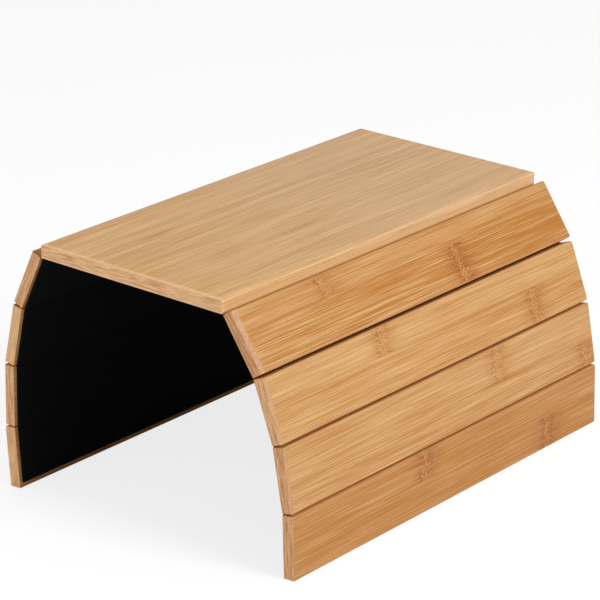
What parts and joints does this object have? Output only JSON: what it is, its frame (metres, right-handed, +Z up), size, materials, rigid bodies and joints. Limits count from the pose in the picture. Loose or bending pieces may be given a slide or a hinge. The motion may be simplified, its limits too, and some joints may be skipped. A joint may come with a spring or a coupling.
{
  "type": "sofa arm tray",
  "caption": "Flexible tray that folds over a sofa arm: a flat bamboo board with bamboo slats hinged down both sides on one continuous felt lining.",
  "frame": {"origin": "on the surface that the tray stands on, under the middle of its overall width and depth", "axes": "+Z up; +Y from the open front to the back, along the slats; +X across the tray, to the side that spreads wider"},
  "size_m": [0.2604, 0.35, 0.1877],
  "materials": {
    "board_bamboo": "pale bamboo strips under satin clear lacquer",
    "deep_slat_bamboo": "caramel bamboo under satin clear lacquer",
    "mid_slat_bamboo": "honey bamboo under satin clear lacquer",
    "felt": "matte black pressed felt"
  },
  "bodies": {
    "board": {"top_board": "board_bamboo", "felt_top": "felt"},
    "right_1": {"right_slat_1": "deep_slat_bamboo", "felt_right_1": "felt", "felt_fold_right_1": "felt"},
    "right_2": {"right_slat_2": "mid_slat_bamboo", "felt_right_2": "felt", "felt_fold_right_2": "felt"},
    "right_3": {"right_slat_3": "mid_slat_bamboo", "felt_right_3": "felt", "felt_fold_right_3": "felt"},
    "right_4": {"right_slat_4": "deep_slat_bamboo", "felt_right_4": "felt", "felt_fold_right_4": "felt"},
    "left_1": {"left_slat_1": "deep_slat_bamboo", "felt_left_1": "felt", "felt_fold_left_1": "felt"},
    "left_2": {"left_slat_2": "mid_slat_bamboo", "felt_left_2": "felt", "felt_fold_left_2": "felt"},
    "left_3": {"left_slat_3": "mid_slat_bamboo", "felt_left_3": "felt", "felt_fold_left_3": "felt"},
    "left_4": {"left_slat_4": "deep_slat_bamboo", "felt_left_4": "felt", "felt_fold_left_4": "felt"}
  },
  "joints": [
    {"name": "right_fold_1", "type": "hinge", "parent": "board", "child": "right_1", "pos_m": [0.07318, 0, 0.17291], "axis": [0, 1, 0], "range_deg": [-55.5, 19.5], "deforming": ["felt_fold_right_1"]},
    {"name": "right_fold_2", "type": "hinge", "parent": "right_1", "child": "right_2", "pos_m": [0.09803, 0, 0.13432], "axis": [0, 1, 0], "range_deg": [-13.5, 51.5], "deforming": ["felt_fold_right_2"]},
    {"name": "right_fold_3", "type": "hinge", "parent": "right_2", "child": "right_3", "pos_m": [0.11317, 0, 0.09099], "axis": [0, 1, 0], "range_deg": [-10, 55], "deforming": ["felt_fold_right_3"]},
    {"name": "right_fold_4", "type": "hinge", "parent": "right_3", "child": "right_4", "pos_m": [0.12057, 0, 0.04569], "axis": [0, 1, 0], "range_deg": [-8.5, 56.5], "deforming": ["felt_fold_right_4"]},
    {"name": "left_fold_1", "type": "hinge", "parent": "board", "child": "left_1", "pos_m": [-0.08864, 0, 0.1778], "axis": [0, -1, 0], "range_deg": [-65.5, 9.5], "deforming": ["felt_fold_left_1"]},
    {"name": "left_fold_2", "type": "hinge", "parent": "left_1", "child": "left_2", "pos_m": [-0.10893, 0, 0.13663], "axis": [0, -1, 0], "range_deg": [-13, 52], "deforming": ["felt_fold_left_2"]},
    {"name": "left_fold_3", "type": "hinge", "parent": "left_2", "child": "left_3", "pos_m": [-0.11943, 0, 0.09195], "axis": [0, -1, 0], "range_deg": [-11, 54], "deforming": ["felt_fold_left_3"]},
    {"name": "left_fold_4", "type": "hinge", "parent": "left_3", "child": "left_4", "pos_m": [-0.12122, 0, 0.04608], "axis": [0, -1, 0], "range_deg": [-5.5, 59.5], "deforming": ["felt_fold_left_4"]}
  ]
}
